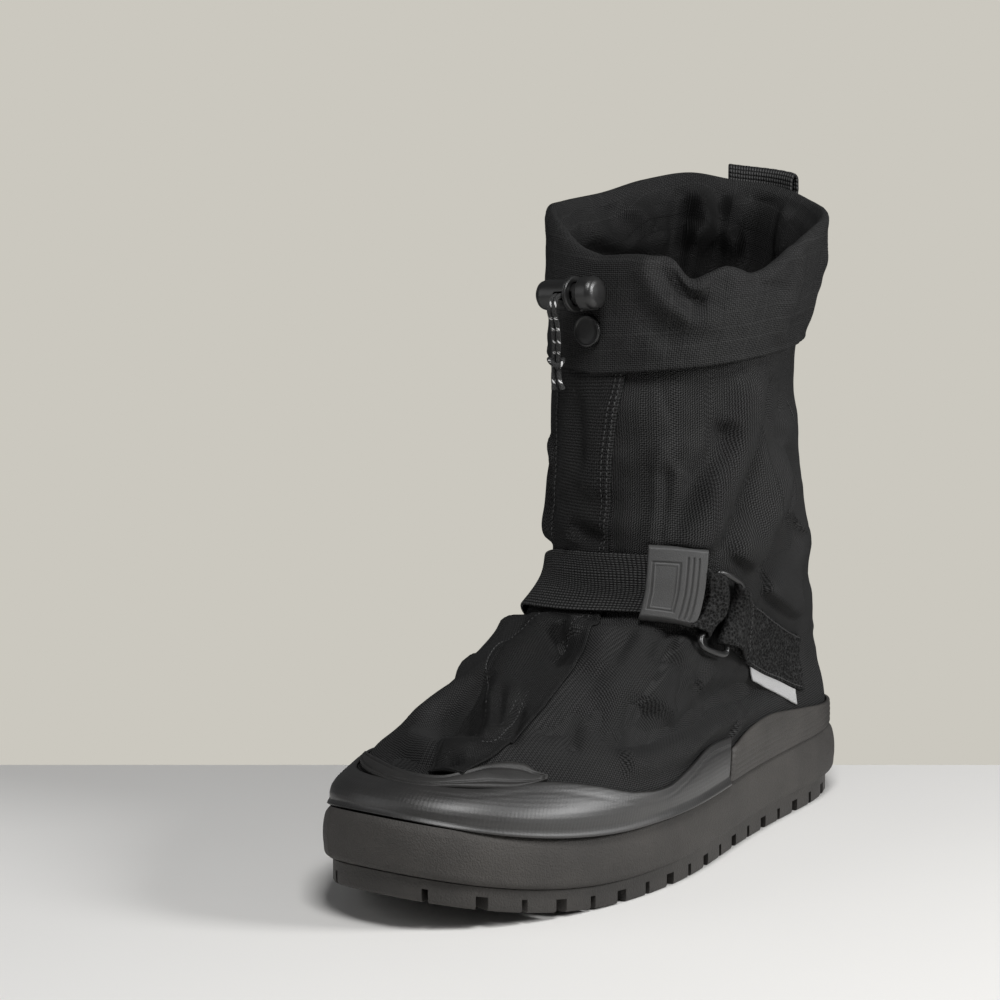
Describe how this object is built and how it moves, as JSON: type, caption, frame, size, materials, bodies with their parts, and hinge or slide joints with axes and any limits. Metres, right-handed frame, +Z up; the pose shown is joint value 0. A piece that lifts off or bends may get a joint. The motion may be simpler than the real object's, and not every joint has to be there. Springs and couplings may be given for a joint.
{
  "type": "winter overshoe",
  "caption": "Low winter overshoe for the left foot: cloth shaft with turned-down drawcord collar, instep strap, rubberised rand and lugged sole with toe spring.",
  "frame": {"origin": "middle of the heel's flat tread, on the floor", "axes": "+Z up; -Y towards the toe; +X towards the outer side of the left foot"},
  "size_m": [0.1225, 0.3135, 0.2899],
  "materials": {
    "sole_rubber": "matt black rubber",
    "midsole_foam": "finely stippled foam rubber",
    "insole_board": "matt felt board",
    "cloth": "black twill nylon",
    "coated_cloth": "rubberised cloth, half gloss",
    "ripstop": "black ripstop nylon",
    "webbing": "ribbed webbing",
    "tab_rubber": "moulded grey-black rubber",
    "plastic": "satin black plastic",
    "label": "plain woven label",
    "cord": "braided cord with light flecks"
  },
  "bodies": {
    "overshoe": {"outsole": "sole_rubber", "midsole": "midsole_foam", "insole": "insole_board", "upper": "cloth", "rand": "coated_cloth", "heel_counter": "sole_rubber", "toe_patch": "coated_cloth", "front_flap": "cloth", "cuff": "ripstop", "pull_loop": "webbing", "strap": "webbing", "strap_tab": "tab_rubber", "strap_tail": "webbing", "ring": "plastic", "ring_anchor": "webbing", "side_label": "label", "eyelet": "plastic", "snap": "plastic", "lock_barrel": "plastic", "drawcord_a": "cord", "drawcord_b": "cord", "cord_knot": "cord", "cord_end_a": "cord", "cord_end_b": "cord"},
    "plunger": {"lock_plunger": "plastic"}
  },
  "joints": [
    {"name": "lock_press", "type": "slide", "parent": "overshoe", "child": "plunger", "axis": [-0.9945, 0, -0.1045], "range_m": [0, 0.003], "stiffness_N_per_m": 1500}
  ]
}
